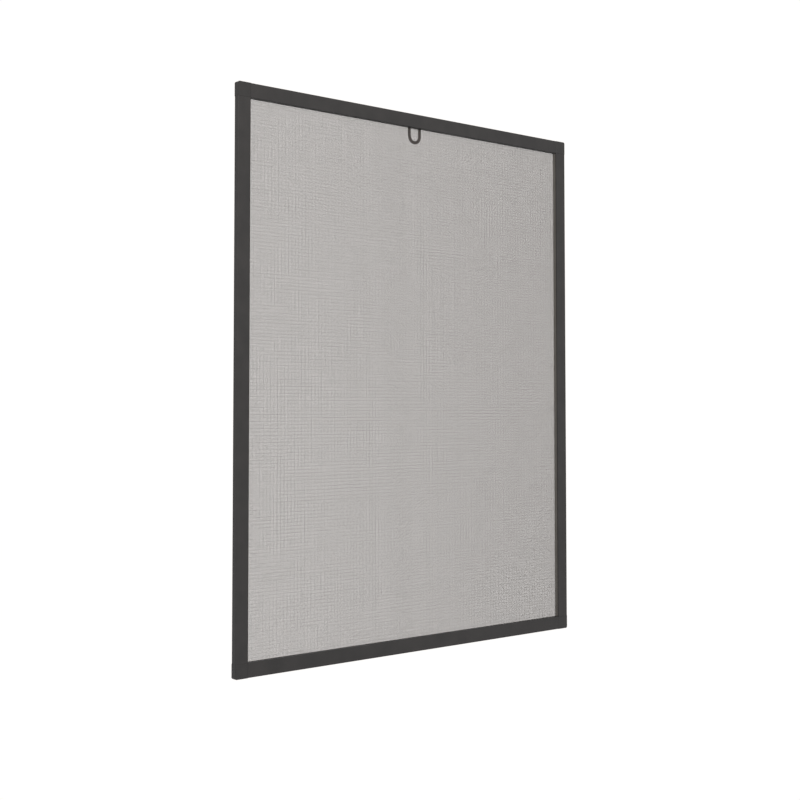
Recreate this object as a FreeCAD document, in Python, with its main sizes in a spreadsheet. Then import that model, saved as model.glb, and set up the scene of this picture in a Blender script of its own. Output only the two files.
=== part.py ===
import FreeCAD, Part
import os
import re
import Sketcher

# A clamp-in insect screen for a window. Seen from the front, +X is to the right and +Z is up.
# The origin is the middle of the back plane, which lies on the window: the front faces -Y.
# Along each side, u runs from the outer edge inwards and v from the front to the back.
DIMENSIONS = {
    # whole frame
    "frame_width": 800,
    "frame_height": 1000,
    # extruded side profile
    "profile_face": 25,
    "profile_depth": 11,
    "wall": 1.2,
    "edge_round": 0.8,
    # slot for the brush seal, near the outer edge of the back
    "brush_offset": 2.4,
    "brush_slot_width": 5.2,
    "brush_slot_height": 1.4,
    "brush_mouth": 3.6,
    "brush_lip": 1.0,
    # groove for the mesh and its spline, near the inner edge of the back
    "groove_width": 4.8,
    "groove_depth": 6.0,
    "lip_thickness": 1.6,
    "mesh_seat": 1.4,
    # moulded corner connectors
    "corner_proud": 0.25,
    "corner_round": 3.5,
    "corner_bevel": 0.5,
    "tongue_length": 32,
    "tongue_clearance": 0.15,
    "tongue_lead_in": 1.2,
    "tongue_fork": 2.4,
    "tongue_root": 6,
    # brush seals
    "backing_thickness": 1.0,
    "brush_clearance": 0.2,
    "pile_width": 2.6,
    "pile_reach": 4.0,
    # insect mesh: a thin wall with thread ridges and some open cells
    "mesh_thickness": 0.3,
    "mesh_tuck": 4.2,
    "ridge_height": 0.25,
    "ridge_width": 0.8,
    "ridge_margin": 1.0,
    "gap_columns": 10,
    "gap_rows": 12,
    "cells_beside_gap": 2,
    "gap_side": 12.0,
    # splines that hold the mesh in its groove
    "spline_clearance": 0.05,
    "spline_lift": 0.3,
    "spline_height": 5.0,
    "spline_round": 1.4,
    # pull tab in the groove of the top rail
    "tab_width": 31,
    "tab_strand": 6.0,
    "tab_thickness": 3.0,
    "tab_reach": 29,
    "tab_foot": 2.4,
    "tab_bevel": 0.8,
    "tab_clearance": 0.2,
    # sheet-metal hanging hooks on the top and bottom rails
    "hook_spacing": 500,
    "hook_thickness": 1.2,
    "hook_width": 20,
    "hook_offset": 8.2,
    "hook_base": 9.4,
    "hook_reach": 15,
    "hook_tongue": 7.6,
    "hook_bend": 1.0,
    "hook_bevel": 2.0,
    # self-tapping screws, two to a hook
    "screw_inset": 5.6,
    "screw_spacing": 10,
    "screw_shank": 2.9,
    "screw_length": 7,
    "screw_head": 5.4,
    "screw_head_height": 1.9,
    "screw_clearance": 0.1,
    "recess_length": 2.8,
    "recess_width": 0.8,
    "recess_depth": 0.9,
}

# Sizes that follow from the ones above.
DERIVED = {
    "groove_end": "profile_face - lip_thickness",
    "groove_start": "groove_end - groove_width",
    "groove_floor": "profile_depth - groove_depth",
    "mesh_plane": "profile_depth - mesh_seat",
    "slot_end": "brush_offset + brush_slot_width",
    "slot_roof": "profile_depth - brush_lip",
    "slot_floor": "slot_roof - brush_slot_height",
    "slot_middle": "brush_offset + brush_slot_width / 2",
    "chamber_start": "slot_end + wall",
    "chamber_end": "groove_start - wall",
    "block": "profile_face + corner_proud",
    "rail_length": "frame_width - 2 * block",
    "stile_length": "frame_height - 2 * block",
    "rail_edge": "frame_height / 2 - corner_proud",
    "stile_edge": "frame_width / 2 - corner_proud",
    "tray_edge": "groove_end - mesh_thickness",
    "tray_half_width": "stile_edge - tray_edge",
    "tray_half_height": "rail_edge - tray_edge",
    "cells_per_gap": "2 * cells_beside_gap + 1",
    "cell_width": "rail_length / (gap_columns * cells_per_gap)",
    "cell_height": "stile_length / (gap_rows * cells_per_gap)",
    "spline_start": "groove_start + spline_clearance",
    "spline_end": "tray_edge - spline_clearance",
    "spline_floor": "groove_floor + spline_lift",
    "spline_top": "spline_floor + spline_height",
    "tab_plane": "max(spline_top; mesh_plane + mesh_thickness + ridge_height + tab_clearance)",
    "tab_sole": "tab_plane - tab_foot",
    "tab_centre": "profile_face + tab_reach - tab_width / 2",
    "bend_outside": "hook_bend + hook_thickness",
    "screw_row": "hook_offset + screw_inset",
    "tongue_start": "corner_proud + chamber_start + tongue_clearance",
    "tongue_stop": "corner_proud + chamber_end - tongue_clearance",
    "tongue_tip": "block + tongue_length",
}

AXIS_Y = FreeCAD.Vector(0, 1, 0)
NEAR = 1e-4

doc = FreeCAD.newDocument("window_screen")
sizes = doc.addObject("Spreadsheet::Sheet", "sizes")
for row, (alias, number) in enumerate(DIMENSIONS.items(), 1):
    sizes.set(f"A{row}", alias)
    sizes.set(f"B{row}", str(number))
    sizes.setAlias(f"B{row}", alias)
doc.recompute()

sub_parts = []


def formula(text):
    """Spell out derived sizes and write the sheet's name before each alias."""

    def spell(match):
        word = match.group()
        if word in DERIVED:
            return "(" + formula(DERIVED[word]) + ")"
        return "sizes." + word if word in DIMENSIONS else word

    return re.sub(r"[a-z_]+", spell, text)


def number_of(text):
    return float(sizes.evalExpression(formula(text)))


def new_body(label):
    body = doc.addObject("PartDesign::Body", label)
    body.Label = label
    sub_parts.append(body)
    return body


def place(body, x, y, z, turn=0):
    """Turn a body about Y and bind its position to the sheet."""
    body.Placement = FreeCAD.Placement(FreeCAD.Vector(), FreeCAD.Rotation(AXIS_Y, turn))
    for axis, text in (("x", x), ("y", y), ("z", z)):
        body.setExpression(f"Placement.Base.{axis}", formula(text))


def place_along(body, side, length):
    """Put a piece that runs along local Z, drawn in u and v, on one side of the frame."""
    half = f"({length}) / 2"
    turn, x, z = {
        "left": (0, "-(stile_edge)", f"-{half}"),
        "top": (90, f"-{half}", "rail_edge"),
        "right": (180, "stile_edge", half),
        "bottom": (270, half, "-(rail_edge)"),
    }[side]
    place(body, x, "-profile_depth", z, turn)


def origin_feature(body, role):
    return next(o for o in body.Origin.OriginFeatures if o.Role == role)


def new_sketch(body, plane, offset="0"):
    """A sketch on an origin plane of the body, moved along the plane's normal."""
    sketch = body.newObject("Sketcher::SketchObject", body.Label + "_sketch")
    sketch.AttachmentSupport = [(origin_feature(body, plane), "")]
    sketch.MapMode = "FlatFace"
    sketch.setExpression("AttachmentOffset.Base.z", formula(offset))
    return sketch


def pin(sketch, geometry, point, x=None, y=None):
    """Bind a point of a sketch to the sheet."""
    for kind, text in (("DistanceX", x), ("DistanceY", y)):
        if text is not None:
            rule = Sketcher.Constraint(kind, -1, 1, geometry, point, number_of(text))
            sketch.setExpression(f"Constraints[{sketch.addConstraint(rule)}]", formula(text))


def outline(sketch, corners):
    """Draw a closed outline. A corner is (x, y), or (x, y, centre x, centre y, turn) where an
    arc leaves it, with turn 1 for anticlockwise and -1 for clockwise."""
    first = sketch.GeometryCount
    points = [FreeCAD.Vector(number_of(c[0]), number_of(c[1]), 0) for c in corners]
    ends = []
    for index, corner in enumerate(corners):
        here, there = points[index], points[(index + 1) % len(corners)]
        turn = corner[4] if len(corner) > 2 else 0
        ends.append((2, 1) if turn == -1 else (1, 2))
        if not turn:
            sketch.addGeometry(Part.LineSegment(here, there))
            continue
        centre = FreeCAD.Vector(number_of(corner[2]), number_of(corner[3]), 0)
        start, stop = (here, there) if turn == 1 else (there, here)
        circle = Part.Circle(centre, FreeCAD.Vector(0, 0, 1), (here - centre).Length)
        sketch.addGeometry(Part.ArcOfCircle(circle, circle.parameter(start), circle.parameter(stop)))
    for index, corner in enumerate(corners):
        following = (index + 1) % len(corners)
        sketch.addConstraint(Sketcher.Constraint(
            "Coincident", first + index, ends[index][1], first + following, ends[following][0]))
        pin(sketch, first + index, ends[index][0], corner[0], corner[1])
        if len(corner) > 2:
            across = points[following] - points[index]
            if abs(across.x) >= abs(across.y):
                pin(sketch, first + index, 3, y=corner[3])
            else:
                pin(sketch, first + index, 3, x=corner[2])


def rectangle(sketch, x_low, y_low, x_high, y_high):
    outline(sketch, [(x_low, y_low), (x_high, y_low), (x_high, y_high), (x_low, y_high)])


def circle(sketch, x, y, diameter):
    radius = number_of(diameter) / 2
    middle = FreeCAD.Vector(number_of(x), number_of(y), 0)
    index = sketch.addGeometry(Part.Circle(middle, FreeCAD.Vector(0, 0, 1), radius))
    pin(sketch, index, 3, x, y)
    rule = sketch.addConstraint(Sketcher.Constraint("Diameter", index, 2 * radius))
    sketch.setExpression(f"Constraints[{rule}]", formula(diameter))


def pad(body, sketch, length, reverse=False, both_ways=False):
    feature = body.newObject("PartDesign::Pad", body.Label + "_pad")
    feature.Profile = sketch
    feature.setExpression("Length", formula(length))
    feature.Reversed = reverse
    feature.Midplane = both_ways
    doc.recompute()
    return feature


def pocket(body, sketch, depth, reverse=False, both_ways=False):
    """Cut a sketch into the body, and make sure that it removed something."""
    before = body.Shape.Volume
    feature = body.newObject("PartDesign::Pocket", body.Label + "_pocket")
    feature.Profile = sketch
    feature.setExpression("Length", formula(depth))
    feature.Reversed = reverse
    feature.Midplane = both_ways
    doc.recompute()
    if body.Shape.Volume > before - NEAR:
        raise RuntimeError(f"a pocket of {body.Label} removes nothing")
    return feature


def dress_edges(body, kind, size, chosen):
    """Add a Fillet or Chamfer to the edges of the body for which chosen(box) holds."""
    base = body.Tip
    names = [f"Edge{i}" for i, edge in enumerate(base.Shape.Edges, 1) if chosen(edge.BoundBox)]
    feature = body.newObject(f"PartDesign::{kind}", f"{body.Label}_{kind.lower()}")
    feature.Base = (base, names)
    feature.setExpression("Radius" if kind == "Fillet" else "Size", formula(size))
    doc.recompute()


def repeat(body, feature, *directions):
    """Repeat a feature along origin axes, each given as (axis, length, count)."""
    pattern = body.newObject("PartDesign::LinearPattern", body.Label + "_pattern")
    pattern.Originals = [feature]
    pattern.Refine = False
    for suffix, (axis, length, count) in zip(("", "2"), directions):
        setattr(pattern, "Direction" + suffix, (origin_feature(body, axis), [""]))
        pattern.setExpression("Length" + suffix, formula(length))
        pattern.setExpression("Occurrences" + suffix, formula(count))
    body.Tip = pattern
    doc.recompute()


def at(low, high, text):
    """Whether a span lies wholly at one place."""
    there = number_of(text)
    return abs(low - there) < NEAR and abs(high - there) < NEAR


def side_profile(label, side, length, drilled):
    """A hollow extrusion with a brush slot and a mesh groove in its back."""
    body = new_body(label)
    section = new_sketch(body, "XY_Plane")
    mouth_low, mouth_high = "slot_middle - brush_mouth / 2", "slot_middle + brush_mouth / 2"
    outline(section, [
        ("edge_round", "0"),
        ("profile_face - edge_round", "0", "profile_face - edge_round", "edge_round", 1),
        ("profile_face", "edge_round"),
        ("profile_face", "mesh_plane"),
        ("groove_end", "mesh_plane"),
        ("groove_end", "groove_floor"),
        ("groove_start", "groove_floor"),
        ("groove_start", "profile_depth"),
        (mouth_high, "profile_depth"),
        (mouth_high, "slot_roof"),
        ("slot_end", "slot_roof"),
        ("slot_end", "slot_floor"),
        ("brush_offset", "slot_floor"),
        ("brush_offset", "slot_roof"),
        (mouth_low, "slot_roof"),
        (mouth_low, "profile_depth"),
        ("edge_round", "profile_depth", "edge_round", "profile_depth - edge_round", 1),
        ("0", "profile_depth - edge_round"),
        ("0", "edge_round", "edge_round", "edge_round", 1),
    ])
    outline(section, [
        ("wall", "wall"),
        ("chamber_end", "wall"),
        ("chamber_end", "profile_depth - wall"),
        ("chamber_start", "profile_depth - wall"),
        ("chamber_start", "slot_floor - wall"),
        ("wall", "slot_floor - wall"),
    ])
    rectangle(section, "groove_start", "wall", "profile_face - wall", "groove_floor - wall")
    pad(body, section, length)
    if drilled:
        holes = new_sketch(body, "XZ_Plane", "-profile_depth")
        for hook in ("-", "+"):
            for screw in ("-", "+"):
                along = f"({length}) / 2 {hook} hook_spacing / 2 {screw} screw_spacing / 2"
                circle(holes, "screw_row", along, "screw_shank + screw_clearance")
        pocket(body, holes, "wall", reverse=True)
    place_along(body, side, length)


def corner_connector(label, x, z, turn):
    """A corner block with two forked tongues that plug into the hollow profiles."""
    body = new_body(label)
    back = "corner_proud + profile_depth"
    square = new_sketch(body, "XZ_Plane")
    rectangle(square, "0", "-(block)", "block", "0")
    pad(body, square, back, reverse=True)
    dress_edges(body, "Fillet", "corner_round",
                lambda b: at(b.XMin, b.XMax, "0") and at(b.ZMin, b.ZMax, "0"))
    dress_edges(body, "Chamfer", "corner_bevel", lambda b: at(b.YMin, b.YMax, "0"))

    lowest = "corner_proud + wall + tongue_clearance"
    tongues = new_sketch(body, "XZ_Plane", f"-({lowest})")
    outline(tongues, [
        ("tongue_start", "-(tongue_start)"),
        ("tongue_start", "-(tongue_tip)"),
        ("tongue_stop", "-(tongue_tip)"),
        ("tongue_stop", "-(tongue_stop)"),
        ("tongue_tip", "-(tongue_stop)"),
        ("tongue_tip", "-(tongue_start)"),
    ])
    pad(body, tongues, "profile_depth - 2 * (wall + tongue_clearance)", reverse=True)
    dress_edges(body, "Chamfer", "tongue_lead_in",
                lambda b: at(b.XMin, b.XMax, "tongue_tip") or at(b.ZMin, b.ZMax, "-(tongue_tip)"))
    forks = new_sketch(body, "XZ_Plane", f"-({back})")
    fork_low = "(tongue_start + tongue_stop - tongue_fork) / 2"
    fork_high = "(tongue_start + tongue_stop + tongue_fork) / 2"
    rectangle(forks, "block + tongue_root", f"-({fork_high})", "tongue_tip", f"-({fork_low})")
    rectangle(forks, fork_low, "-(tongue_tip)", fork_high, "-(block + tongue_root)")
    pocket(body, forks, back, reverse=True)

    groove = new_sketch(body, "XZ_Plane", f"-({back})")
    near, far = "corner_proud + groove_start", "corner_proud + groove_end"
    outline(groove, [
        (near, "-(block)"),
        (far, "-(block)"),
        (far, f"-({far})"),
        ("block", f"-({far})"),
        ("block", f"-({near})"),
        (near, f"-({near})"),
    ])
    pocket(body, groove, "groove_depth", reverse=True)
    seat = new_sketch(body, "XZ_Plane", f"-({back})")
    rectangle(seat, far, "-(block)", "block", f"-({far})")
    pocket(body, seat, "mesh_seat", reverse=True)
    place(body, x, f"-({back})", z, turn)


def insect_mesh():
    """A shallow tray: the mesh lies on the lips of the frame and its edges turn into the groove."""
    body = new_body("insect_mesh")
    sheet = new_sketch(body, "XZ_Plane")
    rectangle(sheet, "-(tray_half_width)", "-(tray_half_height)", "tray_half_width", "tray_half_height")
    pad(body, sheet, "mesh_thickness", reverse=True)
    edges = new_sketch(body, "XZ_Plane")
    rectangle(edges, "-(tray_half_width)", "-(tray_half_height)", "tray_half_width", "tray_half_height")
    inner_x, inner_z = "tray_half_width - mesh_thickness", "tray_half_height - mesh_thickness"
    rectangle(edges, f"-({inner_x})", f"-({inner_z})", inner_x, inner_z)
    pad(body, edges, "mesh_tuck")

    upright = new_sketch(body, "XZ_Plane")
    first_x, end_z = "rail_length / 2 - cell_width", "stile_length / 2 - ridge_margin"
    rectangle(upright, f"-({first_x}) - ridge_width / 2", f"-({end_z})",
              f"-({first_x}) + ridge_width / 2", end_z)
    ridge = pad(body, upright, "ridge_height")
    repeat(body, ridge, ("X_Axis", f"2 * ({first_x})", "gap_columns * cells_per_gap - 1"))

    level = new_sketch(body, "XZ_Plane", "-mesh_thickness")
    first_z, end_x = "stile_length / 2 - cell_height", "rail_length / 2 - ridge_margin"
    rectangle(level, f"-({end_x})", f"-({first_z}) - ridge_width / 2",
              end_x, f"-({first_z}) + ridge_width / 2")
    ridge = pad(body, level, "ridge_height", reverse=True)
    repeat(body, ridge, ("Z_Axis", f"2 * ({first_z})", "gap_rows * cells_per_gap - 1"))

    cell = new_sketch(body, "XZ_Plane")
    gap_x = "(rail_length - cells_per_gap * cell_width) / 2"
    gap_z = "(stile_length - cells_per_gap * cell_height) / 2"
    rectangle(cell, f"-({gap_x}) - gap_side / 2", f"-({gap_z}) - gap_side / 2",
              f"-({gap_x}) + gap_side / 2", f"-({gap_z}) + gap_side / 2")
    gap = pocket(body, cell, "mesh_thickness")
    repeat(body, gap, ("X_Axis", f"2 * ({gap_x})", "gap_columns"),
           ("Z_Axis", f"2 * ({gap_z})", "gap_rows"))
    place(body, "0", "-mesh_seat", "0")


def spline(label, side, length, notched):
    """A rubber cord with flat sides, pressed into the groove beside the mesh."""
    body = new_body(label)
    section = new_sketch(body, "XY_Plane")
    rectangle(section, "spline_start", "spline_floor", "spline_end", "spline_top")
    pad(body, section, length)
    full_length = number_of(length)
    dress_edges(body, "Fillet", "spline_round", lambda b: abs(b.ZLength - full_length) < NEAR)
    if notched:
        notch = new_sketch(body, "XY_Plane", f"({length}) / 2")
        rectangle(notch, "spline_start - spline_clearance", "tab_sole - spline_clearance",
                  "spline_end + spline_clearance", "spline_top + spline_clearance")
        pocket(body, notch, "tab_width + 2 * tab_clearance", both_ways=True)
    place_along(body, side, length)


def brush_seal(label, side, length):
    """A woven backing strip in the slot, with its pile standing out of the back."""
    body = new_body(label)
    section = new_sketch(body, "XY_Plane")
    low, high = "brush_offset + brush_clearance", "slot_end - brush_clearance"
    pile_low, pile_high = "slot_middle - pile_width / 2", "slot_middle + pile_width / 2"
    backing_top, pile_top = "slot_floor + backing_thickness", "profile_depth + pile_reach"
    outline(section, [
        (low, "slot_floor"),
        (high, "slot_floor"),
        (high, backing_top),
        (pile_high, backing_top),
        (pile_high, pile_top),
        (pile_low, pile_top),
        (pile_low, backing_top),
        (low, backing_top),
    ])
    pad(body, section, length)
    place_along(body, side, length)


def pull_tab():
    """A moulded loop behind the mesh, with a foot clamped in the groove of the top rail."""
    body = new_body("pull_tab")
    loop = new_sketch(body, "XZ_Plane", "-(tab_plane)")
    half, inner = "tab_width / 2", "tab_width / 2 - tab_strand"
    outline(loop, [
        (half, "-(spline_start)"),
        (f"-({half})", "-(spline_start)"),
        (f"-({half})", "-(tab_centre)", "0", "-(tab_centre)", 1),
        (half, "-(tab_centre)"),
    ])
    outline(loop, [
        (inner, "-profile_face"),
        (f"-({inner})", "-profile_face"),
        (f"-({inner})", "-(tab_centre)", "0", "-(tab_centre)", 1),
        (inner, "-(tab_centre)"),
    ])
    pad(body, loop, "tab_thickness", reverse=True)
    back = "tab_plane + tab_thickness"
    dress_edges(body, "Chamfer", "tab_bevel",
                lambda b: at(b.YMin, b.YMax, back)
                or at(b.YMin, b.YMax, "tab_plane") and b.ZMax < number_of("-(spline_start)") - NEAR)
    foot = new_sketch(body, "XZ_Plane", "-(tab_plane)")
    rectangle(foot, f"-({half})", "-(spline_end)", half, "-(spline_start)")
    pad(body, foot, "tab_foot")
    place(body, "0", "-profile_depth", "rail_edge")


def hanging_hook(label, x, z, turn):
    """A Z-shaped sheet-metal bracket: base on the rail, web through the window, tongue behind it."""
    body = new_body(label)
    section = new_sketch(body, "YZ_Plane")
    base_end, tongue_end = "-(hook_offset + hook_base)", "-(hook_offset - hook_tongue)"
    low_y, low_z = "bend_outside", "-(hook_offset + bend_outside)"
    high_y, high_z = "hook_reach - hook_bend", "-(hook_offset - hook_bend)"
    far = "hook_reach + hook_thickness"
    outline(section, [
        ("0", base_end),
        ("hook_thickness", base_end),
        ("hook_thickness", low_z, low_y, low_z, -1),
        (low_y, "-(hook_offset + hook_thickness)"),
        (high_y, "-(hook_offset + hook_thickness)", high_y, high_z, 1),
        (far, high_z),
        (far, tongue_end),
        ("hook_reach", tongue_end),
        ("hook_reach", high_z, high_y, high_z, -1),
        (high_y, "-hook_offset"),
        (low_y, "-hook_offset", low_y, low_z, 1),
        ("0", low_z),
    ])
    pad(body, section, "hook_width", both_ways=True)
    dress_edges(body, "Chamfer", "hook_bevel",
                lambda b: at(b.ZMin, b.ZMax, base_end) and b.YLength > NEAR
                or at(b.ZMin, b.ZMax, tongue_end) and b.YLength > NEAR)
    holes = new_sketch(body, "XZ_Plane")
    for side in ("-", ""):
        circle(holes, f"{side}screw_spacing / 2", "-(screw_row)", "screw_shank + screw_clearance")
    pocket(body, holes, "hook_thickness")
    place(body, x, "0", z, turn)


def hook_screws():
    """Blunt flat-topped screws with a cross recess, two through the base of each hook."""
    body = new_body("hook_screws")
    body.AllowCompound = True
    section = new_sketch(body, "XY_Plane")
    outline(section, [
        ("0", "-screw_length"),
        ("screw_shank / 2", "-screw_length"),
        ("screw_shank / 2", "0"),
        ("screw_head / 2", "0"),
        ("screw_head / 2", "screw_head_height"),
        ("0", "screw_head_height"),
    ])
    turned = body.newObject("PartDesign::Revolution", "screw_turned")
    turned.Profile = section
    turned.ReferenceAxis = (section, ["V_Axis"])
    turned.Angle = 360
    doc.recompute()
    recess = new_sketch(body, "XZ_Plane", "-screw_head_height")
    long, short = "recess_length / 2", "recess_width / 2"
    cross = [(long, short), (short, short), (short, long)]
    corners = []
    for x_sign, y_sign in (("", ""), ("-", ""), ("-", "-"), ("", "-")):
        quarter = cross if x_sign == y_sign else cross[::-1]
        corners += [(x_sign + x, y_sign + y) for x, y in quarter]
    outline(recess, corners)
    cut = pocket(body, recess, "recess_depth", reverse=True)
    many = body.newObject("PartDesign::MultiTransform", "screw_places")
    many.Originals = [turned, cut]
    steps = []
    for axis, length in (
        ("X_Axis", "screw_spacing"),
        ("X_Axis", "hook_spacing"),
        ("Z_Axis", "2 * (rail_edge - screw_row)"),
    ):
        step = body.newObject("PartDesign::LinearPattern", "screw_step")
        step.Direction = (origin_feature(body, axis), [""])
        step.setExpression("Length", formula(length))
        step.Occurrences = 2
        steps.append(step)
    many.Transformations = steps
    body.Tip = many
    doc.recompute()
    place(body, "-(hook_spacing + screw_spacing) / 2", "hook_thickness", "-(rail_edge - screw_row)")


rail_spline = "2 * tray_half_width"
stile_spline = "2 * (rail_edge - spline_start)"
for side, profile, length, spline_length, is_rail in (
    ("top", "top_rail", "rail_length", rail_spline, True),
    ("bottom", "bottom_rail", "rail_length", rail_spline, True),
    ("left", "left_stile", "stile_length", stile_spline, False),
    ("right", "right_stile", "stile_length", stile_spline, False),
):
    side_profile(profile, side, length, drilled=is_rail)
    spline(f"spline_{side}", side, spline_length, notched=side == "top")
    brush_seal(f"brush_seal_{side}", side, f"{length} - 2 * brush_clearance")

for corner, x, z, turn in (
    ("top_left", "-frame_width / 2", "frame_height / 2", 0),
    ("top_right", "frame_width / 2", "frame_height / 2", 90),
    ("bottom_right", "frame_width / 2", "-frame_height / 2", 180),
    ("bottom_left", "-frame_width / 2", "-frame_height / 2", 270),
):
    corner_connector(f"corner_connector_{corner}", x, z, turn)

insect_mesh()
pull_tab()

for hook, x, z, turn in (
    ("top_left", "-hook_spacing / 2", "rail_edge", 0),
    ("top_right", "hook_spacing / 2", "rail_edge", 0),
    ("bottom_left", "-hook_spacing / 2", "-(rail_edge)", 180),
    ("bottom_right", "hook_spacing / 2", "-(rail_edge)", 180),
):
    hanging_hook(f"hanging_hook_{hook}", x, z, turn)
hook_screws()

doc.recompute()
for thing in doc.Objects:
    if {"Invalid", "Error"} & set(thing.State):
        raise RuntimeError(f"{thing.Label} could not be computed")
for body in sub_parts:
    if body.Shape.isNull() or not body.Shape.isValid():
        raise RuntimeError(f"{body.Label} has no valid shape")

os.makedirs("parts", exist_ok=True)
for body in sub_parts:
    body.Shape.exportStep(f"parts/{body.Label}.step")
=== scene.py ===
import math

import bpy
import numpy as np
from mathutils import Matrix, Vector


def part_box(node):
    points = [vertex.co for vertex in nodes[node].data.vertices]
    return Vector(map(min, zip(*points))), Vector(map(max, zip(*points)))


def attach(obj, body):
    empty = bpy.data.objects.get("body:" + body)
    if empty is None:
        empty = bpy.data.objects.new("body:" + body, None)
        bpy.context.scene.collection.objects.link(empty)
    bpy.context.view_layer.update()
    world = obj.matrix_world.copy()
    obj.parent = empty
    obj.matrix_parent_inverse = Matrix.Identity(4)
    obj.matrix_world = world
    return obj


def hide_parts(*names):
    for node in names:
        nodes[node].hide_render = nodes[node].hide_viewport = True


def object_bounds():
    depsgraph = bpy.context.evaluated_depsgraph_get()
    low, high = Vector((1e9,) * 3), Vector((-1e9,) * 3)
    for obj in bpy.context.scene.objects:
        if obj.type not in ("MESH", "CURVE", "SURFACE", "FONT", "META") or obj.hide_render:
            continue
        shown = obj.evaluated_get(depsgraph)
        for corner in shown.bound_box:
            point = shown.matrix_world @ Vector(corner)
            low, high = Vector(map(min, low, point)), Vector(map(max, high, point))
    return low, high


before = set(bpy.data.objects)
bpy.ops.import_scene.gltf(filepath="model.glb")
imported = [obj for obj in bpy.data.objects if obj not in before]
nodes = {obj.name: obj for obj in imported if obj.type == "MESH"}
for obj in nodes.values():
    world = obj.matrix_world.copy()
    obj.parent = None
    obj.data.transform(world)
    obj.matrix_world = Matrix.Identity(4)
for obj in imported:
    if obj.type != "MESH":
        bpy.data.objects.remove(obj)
cad_box = [list(corner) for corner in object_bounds()]
scene = bpy.context.scene

# Lengths are in metres, angles in degrees, colours in linear RGB. The front faces -Y.
CAMERA_PLACE = (-1.5736, -1.8417, -0.0508)
CAMERA_YAW = 39.854
CAMERA_LOOKS_UP = 2.439
CAMERA_LENS_MM = 58.27
CAMERA_SENSOR_MM = 36
CAMERA_SHIFT_UP = -0.0591

FLOOR_BELOW = 0.16
FLOOR_REACH = 9.0
SURROUNDINGS = (1.0, 0.976, 0.961, 1.0)
SURROUNDINGS_GLOW = 1.045

# Each light: name, place, width, height, watts, colour. All aim at the origin.
LIGHTS = (
    ("key_left", (-1.2, -3.1, 1.3), 1.4, 1.4, 115, (1.0, 0.93, 0.86)),
    ("fill_right", (2.2, -2.2, 0.6), 2.0, 2.0, 3, (0.94, 0.97, 1.0)),
    ("back_rim", (0.6, 2.4, 1.8), 1.8, 1.2, 20, (1, 1, 1)),
)

# Darkest and palest colour of each finish.
COAT_TONES = ((0.0165, 0.0165, 0.017), (0.021, 0.0205, 0.021))
# Painted light: paler tones on the stiles' walls beside the mesh, standing in for light that falls
# there.
PAINTED_LIGHT_WALL_TONES = ((0.09, 0.086, 0.08), (0.1, 0.096, 0.09))
CORNER_TONES = ((0.0165, 0.0165, 0.017), (0.02, 0.02, 0.0203))
TAB_TONES = ((0.024, 0.0215, 0.025), (0.032, 0.029, 0.034))
THREAD_TONES = ((0.036, 0.031, 0.027), (0.057, 0.049, 0.043))
RUBBER_TONES = ((0.012, 0.012, 0.012), (0.022, 0.022, 0.0225))
PILE_TONES = ((0.01, 0.01, 0.0105), (0.045, 0.045, 0.047))
HOOK_TONES = ((0.42, 0.42, 0.43), (0.62, 0.62, 0.63))
SCREW_TONES = ((0.5, 0.5, 0.5), (0.72, 0.72, 0.72))

# How far a pattern is shrunk along the length, so that it is drawn out into lines.
EXTRUSION_STRETCH = 0.02
RIB_STRETCH = 0.004
HOOK_BRUSHING = (1, 1, 0.03)
SCREW_BRUSHING = (1, 1, 1)

# Painted light: the walls of the stiles beside the mesh are painted paler, as if lit, from the
# mesh to part of the way forward.
PAINTED_LIGHT_BLEND = 0.0006
PAINTED_LIGHT_FRONT = -0.0098
PAINTED_LIGHT_BACK = -0.0074

THREAD_DIAMETER = 0.00041
THREAD_RADIUS = THREAD_DIAMETER / 2
THREAD_PITCH = 0.0012
THREAD_SIDES = 6
THREAD_WANDER = 0.015
THREAD_UNEVEN = 0.02
THREAD_LIFT = 0.0002
# Room beside the spline, where the edge of the mesh goes down into the groove.
TUCK_SPACE = 0.0003
THREAD_SEED = 11
UPRIGHT_STOUT_EVERY = 6
UPRIGHT_STOUTER_BY = 0.3
LEVEL_STOUT_EVERY = 5
LEVEL_STOUTER_BY = 0.4
# A thread has a ring of corners at each end and at each bend. For each ring: how much of the
# radius goes into depth and along the thread, which puts the ring on the mitre at a bend.
THREAD_RINGS = ((0, -1), (1, -1), (1, 1), (0, 1))

FIBRE_STEP = 0.0004
FIBRE_STRAY_ALONG = FIBRE_STEP / 4
FIBRE_ROWS = 5
FIBRE_WIDTH = 0.00022
FIBRE_LEAN = 0.00035
FIBRE_SHORTEN = 0.0004
FIBRE_TIP_SHARE = 0.6
FIBRE_SIDES = 3
FIBRE_FACES = ((0, 1, 2), (3, 5, 4), (0, 4, 1), (0, 3, 4),
               (1, 5, 2), (1, 4, 5), (2, 3, 0), (2, 5, 3))
BACKING_THICKNESS = 0.001
BACKING_BEVEL = BACKING_THICKNESS / 4
PILE_WIDTH = 0.0026
FIBRE_ROW_GAP = (PILE_WIDTH - FIBRE_WIDTH) / FIBRE_ROWS
FIBRE_STRAY_ACROSS = FIBRE_ROW_GAP / 5

SAME_PLACE = 1e-5
SIDES = ("top", "bottom", "left", "right")
UPRIGHT_SIDES = ("left", "right")
CORNERS = ("top_left", "top_right", "bottom_left", "bottom_right")


# Materials


def new_material(name, roughness, metallic=0.0, specular=0.5):
    """A material with its node tree and shader, with the values that are the same all over."""
    made = bpy.data.materials.new(name)
    made.use_nodes = True
    shader = made.node_tree.nodes["Principled BSDF"]
    shader.inputs["Metallic"].default_value = metallic
    shader.inputs["Roughness"].default_value = roughness
    shader.inputs["Specular IOR Level"].default_value = specular
    return made, made.node_tree, shader


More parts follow.
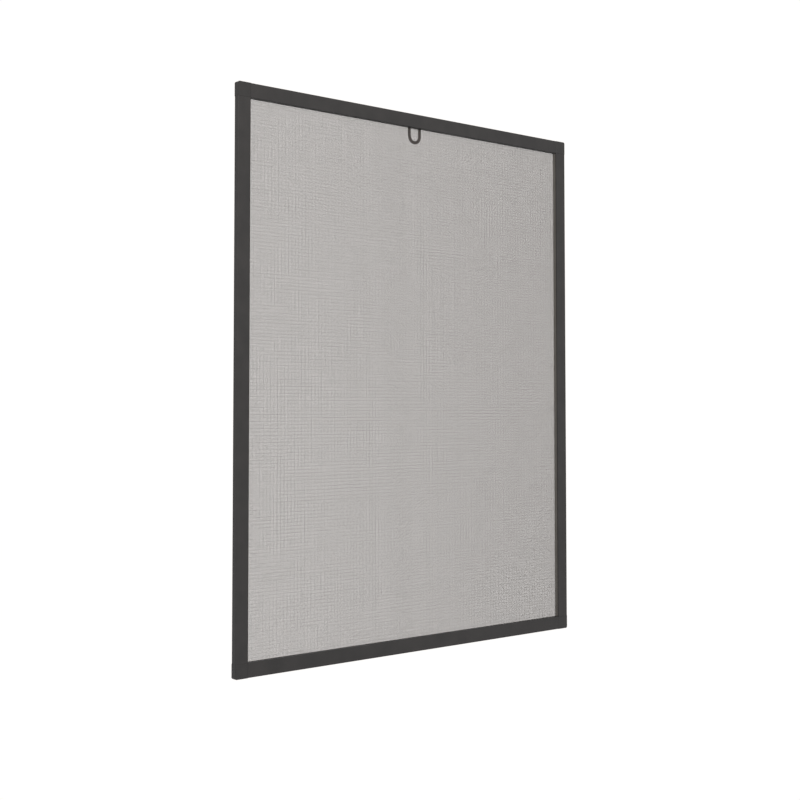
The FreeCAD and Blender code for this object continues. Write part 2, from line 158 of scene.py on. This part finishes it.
def noise(tree, scale, detail, stretch=(1, 1, 1)):
    """Noise over the object's own metres, longer along the axes where stretch is small."""
    place = tree.nodes.new("ShaderNodeTexCoord")
    mapping = tree.nodes.new("ShaderNodeMapping")
    mapping.inputs["Scale"].default_value = stretch
    texture = tree.nodes.new("ShaderNodeTexNoise")
    texture.inputs["Scale"].default_value = scale
    texture.inputs["Detail"].default_value = detail
    tree.links.new(place.outputs["Object"], mapping.inputs["Vector"])
    tree.links.new(mapping.outputs["Vector"], texture.inputs["Vector"])
    return texture.outputs["Fac"]


def drawn_out(along, share):
    """The stretch of a noise that runs in lines along one axis."""
    return tuple(share if axis == along else 1 for axis in "XYZ")


def ramp(tree, fac, tones, start=0.3, stop=0.7):
    """A colour that goes from the first tone to the second as fac rises."""
    colours = tree.nodes.new("ShaderNodeValToRGB")
    for element, place, tone in zip(colours.color_ramp.elements, (start, stop), tones):
        element.position = place
        element.color = (*tone, 1.0)
    tree.links.new(fac, colours.inputs["Fac"])
    return colours.outputs["Color"]


def spread(tree, fac, low, high, start=0.3, stop=0.7):
    """A number that goes from low to high as fac rises."""
    mapped = tree.nodes.new("ShaderNodeMapRange")
    mapped.inputs["From Min"].default_value = start
    mapped.inputs["From Max"].default_value = stop
    mapped.inputs["To Min"].default_value = low
    mapped.inputs["To Max"].default_value = high
    tree.links.new(fac, mapped.inputs["Value"])
    return mapped.outputs["Result"]


def bump(tree, shader, height, distance, strength, under=None):
    """Raise the surface by height, over an earlier bump where one is given."""
    raised = tree.nodes.new("ShaderNodeBump")
    raised.inputs["Strength"].default_value = strength
    raised.inputs["Distance"].default_value = distance
    tree.links.new(height, raised.inputs["Height"])
    if under is not None:
        tree.links.new(under, raised.inputs["Normal"])
    tree.links.new(raised.outputs["Normal"], shader.inputs["Normal"])
    return raised.outputs["Normal"]


def calculated(tree, operation, *numbers):
    """The result of a calculation with one or two numbers."""
    worked = tree.nodes.new("ShaderNodeMath")
    worked.operation = operation
    for socket, number in zip(worked.inputs, numbers):
        tree.links.new(number, socket)
    return worked.outputs["Value"]


def painted_light_beside_mesh(tree):
    """Mask of the painted light: a number that is 1 on the walls of the stiles beside the mesh and
    0 elsewhere.
    """
    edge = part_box("right_stile")[0].x
    place = tree.nodes.new("ShaderNodeTexCoord")
    axes = tree.nodes.new("ShaderNodeSeparateXYZ")
    tree.links.new(place.outputs["Object"], axes.inputs["Vector"])
    distance = calculated(tree, "ABSOLUTE", axes.outputs["X"])
    wall = spread(tree, distance, 1.0, 0.0, edge, edge + PAINTED_LIGHT_BLEND)
    deep = spread(tree, axes.outputs["Y"], 0.0, 1.0, PAINTED_LIGHT_FRONT, PAINTED_LIGHT_BACK)
    return calculated(tree, "MULTIPLY", wall, deep)


def powder_coat(name, along):
    """Satin anthracite coat: fine orange peel over faint lengthwise extrusion lines. On a stile
    the wall beside the mesh carries painted light: a paler tone, as if lit."""
    made, tree, shader = new_material(name, roughness=0.5, specular=0.2)
    tone = noise(tree, scale=35, detail=3)
    colour = ramp(tree, tone, COAT_TONES)
    # Painted light: the stile's walls beside the mesh are mixed toward paler tones, as if lit.
    if along == "Z":
        painted_light_mix = tree.nodes.new("ShaderNodeMixRGB")
        tree.links.new(painted_light_beside_mesh(tree), painted_light_mix.inputs["Fac"])
        tree.links.new(colour, painted_light_mix.inputs["Color1"])
        tree.links.new(ramp(tree, tone, PAINTED_LIGHT_WALL_TONES), painted_light_mix.inputs["Color2"])
        colour = painted_light_mix.outputs["Color"]
    tree.links.new(colour, shader.inputs["Base Color"])
    shine = spread(tree, noise(tree, scale=900, detail=2), low=0.44, high=0.56)
    tree.links.new(shine, shader.inputs["Roughness"])
    drawn = noise(tree, scale=1600, detail=2, stretch=drawn_out(along, EXTRUSION_STRETCH))
    lines = bump(tree, shader, drawn, distance=0.00003, strength=0.5)
    peel = noise(tree, scale=1500, detail=3)
    bump(tree, shader, peel, distance=0.00008, strength=0.6, under=lines)
    return made


def moulded_plastic(name, tones, roughness):
    """Injection-moulded plastic with a fine spark-eroded grain and cloudy tone."""
    made, tree, shader = new_material(name, roughness, specular=0.2)
    clouds = noise(tree, scale=60, detail=4)
    tree.links.new(ramp(tree, clouds, tones), shader.inputs["Base Color"])
    shine = spread(tree, noise(tree, scale=1300, detail=2), roughness - 0.07, roughness + 0.07)
    tree.links.new(shine, shader.inputs["Roughness"])
    bump(tree, shader, noise(tree, scale=2600, detail=2), distance=0.00006, strength=0.7)
    return made


def coated_thread():
    """Plastic-coated glass thread: dark grey, a little uneven along its length."""
    made, tree, shader = new_material("coated_thread", roughness=0.5)
    clouds = noise(tree, scale=130, detail=4)
    tree.links.new(ramp(tree, clouds, THREAD_TONES), shader.inputs["Base Color"])
    shine = spread(tree, noise(tree, scale=500, detail=2), low=0.4, high=0.6)
    tree.links.new(shine, shader.inputs["Roughness"])
    bump(tree, shader, noise(tree, scale=4000, detail=2), distance=0.00004, strength=0.5)
    return made


def spline_rubber(name, along):
    """Soft black rubber with fine ribs along its length and a dusty bloom."""
    made, tree, shader = new_material(name, roughness=0.75)
    bloom = noise(tree, scale=90, detail=4)
    tree.links.new(ramp(tree, bloom, RUBBER_TONES), shader.inputs["Base Color"])
    drawn = noise(tree, scale=1500, detail=1, stretch=drawn_out(along, RIB_STRETCH))
    ribs = bump(tree, shader, drawn, distance=0.0003, strength=0.7)
    grain = noise(tree, scale=3000, detail=2)
    bump(tree, shader, grain, distance=0.00004, strength=0.5, under=ribs)
    return made


def brush_pile():
    """Silky polypropylene fibres, each a slightly different dark grey."""
    made, tree, shader = new_material("brush_pile", roughness=0.6)
    fleck = noise(tree, scale=2200, detail=1)
    tree.links.new(ramp(tree, fleck, PILE_TONES), shader.inputs["Base Color"])
    shader.inputs["Sheen Weight"].default_value = 0.3
    shader.inputs["Sheen Roughness"].default_value = 0.4
    return made


def brushed_steel(name, tones, stretch, roughness):
    """Bare steel with fine brushing lines and patchy shine."""
    made, tree, shader = new_material(name, roughness, metallic=1.0)
    lines = noise(tree, scale=2500, detail=3, stretch=stretch)
    tree.links.new(ramp(tree, lines, tones), shader.inputs["Base Color"])
    shine = spread(tree, noise(tree, scale=180, detail=3), roughness - 0.06, roughness + 0.08)
    tree.links.new(shine, shader.inputs["Roughness"])
    bump(tree, shader, lines, distance=0.00003, strength=0.5)
    return made


def paint(node, material):
    """Give a kept CAD node one finish."""
    mesh = nodes[node].data
    mesh.materials.clear()
    mesh.materials.append(material)


# Pieces made here


def piece(name, points, faces, material, replaced):
    """A flat-shaded mesh object that stands for a CAD node and rides with the frame."""
    mesh = bpy.data.meshes.new(name)
    mesh.vertices.add(len(points))
    mesh.vertices.foreach_set("co", np.asarray(points, np.float32).ravel())
    corners = faces.shape[1]
    mesh.loops.add(faces.size)
    mesh.loops.foreach_set("vertex_index", faces.astype(np.int32).ravel())
    mesh.polygons.add(len(faces))
    mesh.polygons.foreach_set("loop_start", np.arange(0, faces.size, corners, dtype=np.int32))
    mesh.polygons.foreach_set("use_smooth", np.full(len(faces), False))
    mesh.update(calc_edges=True)
    mesh.validate()
    mesh.materials.append(material)
    made = bpy.data.objects.new(name, mesh)
    scene.collection.objects.link(made)
    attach(made, "root")
    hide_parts(replaced)
    return made


def thread_paths(random, half_across, half_along, surface, tuck):
    """Paths of parallel threads, as (across, depth, along): each rises out of the groove, crosses
    the opening and goes down into the groove on the other side."""
    count = int(2 * half_across / THREAD_PITCH)
    across = (np.arange(count) - (count - 1) / 2) * THREAD_PITCH
    across = across + random.normal(0, THREAD_WANDER * THREAD_PITCH, count)
    across = np.clip(across, -half_across, half_across)
    paths = np.empty((count, len(THREAD_RINGS), 3))
    paths[:, :, 0] = across[:, None]
    paths[:, :, 1] = (tuck, surface, surface, tuck)
    paths[:, :, 2] = (-half_along, -half_along, half_along, half_along)
    return paths


def thread_tubes(random, paths, stout_every, stouter_by):
    """Closed many-sided tubes round the paths, mitred where a thread bends and pressed flat beside
    the spline. Every few threads one is stouter than the rest."""
    count = len(paths)
    stout = 1 + stouter_by * (np.arange(count)[:, None] % stout_every == 0)
    angles = np.arange(THREAD_SIDES) * 2 * math.pi / THREAD_SIDES
    side, out = np.cos(angles), np.sin(angles)
    radius = THREAD_RADIUS * stout * (1 + random.normal(0, THREAD_UNEVEN, (count, 1)))
    pressed = np.minimum(radius, TUCK_SPACE / 2)
    rings = []
    for index, (depth_share, along_share) in enumerate(THREAD_RINGS):
        ring = np.repeat(paths[:, index, None, :], THREAD_SIDES, axis=1)
        ring[:, :, 0] += radius * side
        ring[:, :, 1] += radius * out * depth_share
        ring[:, :, 2] += pressed * out * along_share
        rings.append(ring)
    points = np.stack(rings, axis=1).reshape(-1, 3)
    quads = []
    spans = len(THREAD_RINGS) - 1
    for span in range(spans):
        low, high = span * THREAD_SIDES, (span + 1) * THREAD_SIDES
        for corner in range(THREAD_SIDES):
            following = (corner + 1) % THREAD_SIDES
            quads.append((low + corner, low + following, high + following, high + corner))
    # The ends are closed with quads, since the number of sides is even.
    last = spans * THREAD_SIDES
    for first in range(1, THREAD_SIDES - 2, 2):
        quads.append((0, first + 2, first + 1, first))
        quads.append((last, last + first, last + first + 1, last + first + 2))
    steps = np.arange(count)[:, None, None] * len(THREAD_RINGS) * THREAD_SIDES
    return points, (np.array(quads)[None] + steps).reshape(-1, 4)


def lip_depth():
    """Where the backs of the lips lie that carry the mesh, as a place on the Y axis."""
    points = np.array([vertex.co for vertex in nodes["left_stile"].data.vertices])
    lip = points[points[:, 0] > points[:, 0].max() - SAME_PLACE]
    return lip[:, 1].max()


def insect_mesh(material):
    """Two crossing layers of threads, stretched over the lips of the frame."""
    low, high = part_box("insect_mesh")
    random = np.random.default_rng(THREAD_SEED)
    half_width, half_height = high.x - TUCK_SPACE / 2, high.z - TUCK_SPACE / 2
    tuck = low.y
    lip_end = lip_depth()
    upright = thread_paths(random, half_width, half_height,
                           lip_end + THREAD_RADIUS * (1 + UPRIGHT_STOUTER_BY), tuck)
    level = thread_paths(random, half_height, half_width,
                         lip_end + THREAD_RADIUS + THREAD_LIFT, tuck)
    points_up, faces_up = thread_tubes(random, upright, UPRIGHT_STOUT_EVERY, UPRIGHT_STOUTER_BY)
    points_level, faces_level = thread_tubes(random, level, LEVEL_STOUT_EVERY, LEVEL_STOUTER_BY)
    # The level threads are made like upright ones, with X and Z swapped, which turns their faces.
    points_level = points_level[:, ::-1]
    faces_level = faces_level[:, ::-1] + len(points_up)
    points = np.concatenate([points_up, points_level])
    faces = np.concatenate([faces_up, faces_level])
    made = piece("insect_mesh_threads", points, faces, material, "insect_mesh")


def fibres(random, span, floor, tips):
    """Rows of fine tapered fibres over a span, as (across, depth, along)."""
    columns = int(span / FIBRE_STEP)
    spots = np.stack(np.meshgrid(np.arange(columns), np.arange(FIBRE_ROWS)), -1).reshape(-1, 2)
    column, row = spots[:, 0], spots[:, 1]
    count = len(spots)
    # Every other row is set half a step on.
    along = (column + 0.5 + 0.5 * (row % 2)) * FIBRE_STEP - span / 2
    along = np.clip(along + random.normal(0, FIBRE_STRAY_ALONG, count),
                    FIBRE_WIDTH - span / 2, span / 2 - FIBRE_WIDTH)
    across = (row - (FIBRE_ROWS - 1) / 2) * FIBRE_ROW_GAP
    across = across + random.normal(0, FIBRE_STRAY_ACROSS, count)
    foot = np.full(count, floor + BACKING_THICKNESS / 2)
    tip = tips - np.abs(random.normal(0, FIBRE_SHORTEN, count))
    turn = random.uniform(0, 2 * math.pi, count)
    tip_across = across + random.normal(0, FIBRE_LEAN, count)
    tip_along = along + random.normal(0, FIBRE_LEAN, count)
    points = np.empty((count, 2 * FIBRE_SIDES, 3))
    for corner in range(FIBRE_SIDES):
        angle = turn + corner * 2 * math.pi / FIBRE_SIDES
        aside, ahead = FIBRE_WIDTH / 2 * np.cos(angle), FIBRE_WIDTH / 2 * np.sin(angle)
        points[:, corner] = np.stack([across + aside, foot, along + ahead], -1)
        points[:, corner + FIBRE_SIDES] = np.stack(
            [tip_across + FIBRE_TIP_SHARE * aside, tip, tip_along + FIBRE_TIP_SHARE * ahead], -1)
    points[:, :, 0] = np.clip(points[:, :, 0], -PILE_WIDTH / 2, PILE_WIDTH / 2)
    points[:, :, 2] = np.clip(points[:, :, 2], -span / 2, span / 2)
    steps = np.arange(count)[:, None, None] * 2 * FIBRE_SIDES
    return points.reshape(-1, 3), (np.array(FIBRE_FACES)[None] + steps).reshape(-1, 3)


def backing_strip(half_width, floor, half_length):
    """A flat woven strip as triangles, with its four long edges bevelled."""
    bevel = BACKING_BEVEL
    top = floor + BACKING_THICKNESS
    section = [
        (-half_width + bevel, floor), (half_width - bevel, floor),
        (half_width, floor + bevel), (half_width, top - bevel),
        (half_width - bevel, top), (-half_width + bevel, top),
        (-half_width, top - bevel), (-half_width, floor + bevel),
    ]
    size = len(section)
    points = np.array([(x, y, end * half_length) for end in (-1, 1) for x, y in section])
    faces = []
    for corner in range(size):
        following = (corner + 1) % size
        faces.append((corner, following, following + size))
        faces.append((corner, following + size, corner + size))
    for corner in range(1, size - 1):
        faces.append((0, corner + 1, corner))
        faces.append((size, size + corner, size + corner + 1))
    return points, np.array(faces)


def brush(side, material):
    """A backing strip with rows of fine tapered fibres that stand out of the back."""
    low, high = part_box(f"brush_seal_{side}")
    random = np.random.default_rng(SIDES.index(side))
    middle = (low + high) / 2
    length, width = high.x - low.x, high.z - low.z
    if side in UPRIGHT_SIDES:
        length, width = width, length
    pile, pile_faces = fibres(random, length, low.y, high.y)
    strip, strip_faces = backing_strip(width / 2, low.y, length / 2)
    points = np.concatenate([pile, strip])
    faces = np.concatenate([pile_faces, strip_faces + len(pile)])
    if side not in UPRIGHT_SIDES:
        points = points[:, ::-1]
        faces = faces[:, ::-1]
    points = points + np.array((middle.x, 0, middle.z))
    piece(f"brush_{side}", points, faces, material, f"brush_seal_{side}")


# Stage


def area_light(name, place, width, height, watts, colour):
    """A soft rectangular light that aims at the origin."""
    data = bpy.data.lights.new(name, "AREA")
    data.shape = "RECTANGLE"
    data.size, data.size_y = width, height
    data.energy = watts
    data.color = colour
    made = bpy.data.objects.new(name, data)
    scene.collection.objects.link(made)
    made.location = place
    made.rotation_euler = (-Vector(place)).to_track_quat("-Z", "Y").to_euler()


def lit_floor():
    """White that glows as much as the surroundings, so that no horizon shows through the mesh."""
    made = bpy.data.materials.new("lit_floor")
    made.use_nodes = True
    tree = made.node_tree
    tree.nodes.remove(tree.nodes["Principled BSDF"])
    glow = tree.nodes.new("ShaderNodeEmission")
    glow.inputs["Color"].default_value = SURROUNDINGS
    glow.inputs["Strength"].default_value = SURROUNDINGS_GLOW
    tree.links.new(glow.outputs["Emission"], tree.nodes["Material Output"].inputs["Surface"])
    return made


def stage():
    """A white floor under the screen, bright surroundings and soft lights."""
    level = cad_box[0][2] - FLOOR_BELOW
    reach = FLOOR_REACH
    mesh = bpy.data.meshes.new("floor")
    mesh.from_pydata([(-reach, -reach, level), (reach, -reach, level),
                      (reach, reach, level), (-reach, reach, level)], [], [(0, 1, 2, 3)])
    floor = bpy.data.objects.new("floor", mesh)
    scene.collection.objects.link(floor)
    mesh.materials.append(lit_floor())

    world = bpy.data.worlds.new("white_surroundings")
    world.use_nodes = True
    background = world.node_tree.nodes["Background"]
    background.inputs["Color"].default_value = SURROUNDINGS
    background.inputs["Strength"].default_value = SURROUNDINGS_GLOW
    scene.world = world
    for light in LIGHTS:
        area_light(*light)


def camera():
    """The photo's view, found by a perspective fit to the edges of the frame."""
    data = bpy.data.cameras.new("camera")
    data.lens = CAMERA_LENS_MM
    data.sensor_width = CAMERA_SENSOR_MM
    data.shift_y = CAMERA_SHIFT_UP
    made = bpy.data.objects.new("camera", data)
    scene.collection.objects.link(made)
    made.location = CAMERA_PLACE
    made.rotation_euler = (math.radians(90 + CAMERA_LOOKS_UP), 0, math.radians(-CAMERA_YAW))
    scene.camera = made


rail_coat = powder_coat("powder_coat_rail", "X")
stile_coat_with_painted_light = powder_coat("powder_coat_stile_with_painted_light", "Z")
corner_plastic = moulded_plastic("corner_plastic", CORNER_TONES, roughness=0.5)
tab_plastic = moulded_plastic("tab_plastic", TAB_TONES, roughness=0.42)
hook_steel = brushed_steel("hook_steel", HOOK_TONES, HOOK_BRUSHING, roughness=0.36)
screw_steel = brushed_steel("screw_steel", SCREW_TONES, SCREW_BRUSHING, roughness=0.3)
rail_rubber = spline_rubber("rubber_rail", "X")
stile_rubber = spline_rubber("rubber_stile", "Z")
pile_fibre = brush_pile()

for rail in ("top_rail", "bottom_rail"):
    paint(rail, rail_coat)
for stile in ("left_stile", "right_stile"):
    paint(stile, stile_coat_with_painted_light)
for side in SIDES:
    paint(f"spline_{side}", stile_rubber if side in UPRIGHT_SIDES else rail_rubber)
    brush(side, pile_fibre)
for corner in CORNERS:
    paint(f"corner_connector_{corner}", corner_plastic)
    paint(f"hanging_hook_{corner}", hook_steel)
paint("pull_tab", tab_plastic)
paint("hook_screws", screw_steel)
insect_mesh(coated_thread())
stage()
camera()
scene.view_settings.view_transform = "Standard"
